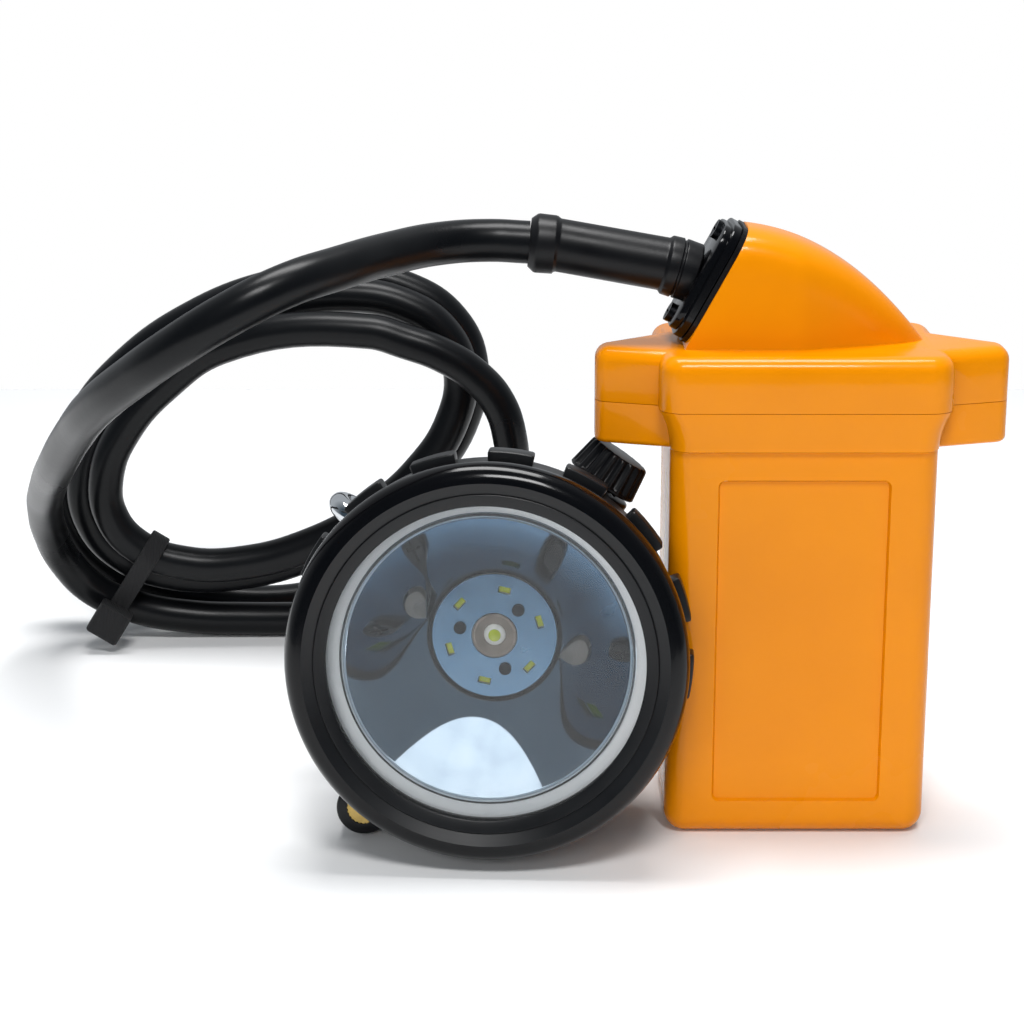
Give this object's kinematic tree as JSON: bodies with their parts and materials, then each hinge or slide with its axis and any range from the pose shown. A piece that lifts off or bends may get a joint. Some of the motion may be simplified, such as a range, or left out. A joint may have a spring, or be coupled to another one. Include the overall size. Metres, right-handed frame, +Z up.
{
  "type": "miner's cap lamp",
  "caption": "Corded miner's cap lamp: an orange belt battery pack, a coiled black rubber cord and a round cap headpiece with a rotary switch and a screwed bezel.",
  "frame": {"origin": "centre of the battery case's base, on the surface the lamp stands on", "axes": "+Z up, +X to the right of the battery pack, +Y away from its front face"},
  "size_m": [0.2295, 0.1952, 0.1321],
  "materials": {
    "case_orange": "glossy moulded ABS",
    "loop_black": "moulded nylon",
    "gland_black": "glossy moulded plastic",
    "housing_black": "satin moulded plastic",
    "bezel_black": "glossy bead, matte bevel",
    "knob_black": "moulded nylon",
    "cord_rubber": "smooth cable sheath",
    "boot_rubber": "matte moulded rubber",
    "seal_rubber": "matte",
    "tie_strap": "woven strap",
    "lens_clear": "polished",
    "trim_grey": "satin",
    "reflector_bright": "vacuum metallised",
    "disc_blue_grey": "polished, blue-grey",
    "board_white": "solder mask",
    "board_green": "solder mask",
    "phosphor": "silicone over phosphor",
    "collar_brown": "moulded",
    "sink_aluminium": "machined",
    "screw_steel": "zinc plated",
    "hook_chrome": "plated",
    "contact_brass": "turned, knurled",
    "cell_wrap": "drawn can",
    "tab_nickel": "nickel plated",
    "pad_foam": "closed-cell foam",
    "lead_red": "wire insulation",
    "fuse_yellow": "coated",
    "switch_grey": "moulded"
  },
  "bodies": {
    "lamp": {"battery_case": "case_orange", "case_cover": "case_orange", "cover_gasket": "seal_rubber", "cover_screws": "screw_steel", "cell_front": "cell_wrap", "cell_rear": "cell_wrap", "cell_pad": "pad_foam", "cell_tabs": "tab_nickel", "protection_board": "board_green", "fuse": "fuse_yellow", "battery_leads": "lead_red", "belt_loop": "loop_black", "belt_loop_screws": "screw_steel", "gland_seal": "seal_rubber", "gland_plate": "gland_black", "gland_screws": "screw_steel", "cable_boot": "boot_rubber", "cord_feed": "cord_rubber", "cord_return": "cord_rubber", "cord_coil": "cord_rubber", "cord_tail": "cord_rubber", "cord_tie": "tie_strap", "lamp_housing": "housing_black", "trim_ring": "trim_grey", "reflector": "reflector_bright", "led_disc": "disc_blue_grey", "led_board": "board_white", "main_led": "phosphor", "led_collar": "collar_brown", "aux_leds": "phosphor", "disc_screws": "screw_steel", "heat_sink": "sink_aluminium", "driver_board": "board_green", "switch_body": "switch_grey", "switch_seal": "seal_rubber", "charge_contact": "contact_brass", "helmet_hook": "hook_chrome", "hook_screws": "screw_steel", "head_gland_nut": "housing_black", "head_grommet": "seal_rubber", "head_boot": "boot_rubber", "head_leads": "lead_red"},
    "knob": {"switch_knob": "knob_black", "switch_shaft": "screw_steel"},
    "lens_carrier": {"front_lens": "lens_clear", "lens_seal": "seal_rubber"},
    "bezel": {"bezel_ring": "bezel_black"}
  },
  "joints": [
    {"name": "knob_turn", "type": "hinge", "parent": "lamp", "child": "knob", "pos_m": [-0.03986, -0.00145, 0.07744], "axis": [0.5633, 0.0582, 0.8242], "range_deg": [-60, 60]},
    {"name": "bezel_travel", "type": "slide", "parent": "lamp", "child": "lens_carrier", "axis": [-0.0555, -0.9926, 0.108], "range_m": [0, 0.006]},
    {"name": "bezel_turn", "type": "hinge", "parent": "lens_carrier", "child": "bezel", "pos_m": [-0.0662, -0.0318, 0.0442], "axis": [-0.0555, -0.9926, 0.108], "range_deg": [0, 1080]}
  ],
  "couplings": [
    {"joint": "bezel_travel", "follows": "bezel_turn", "m_per_rad": 0.0003183}
  ]
}
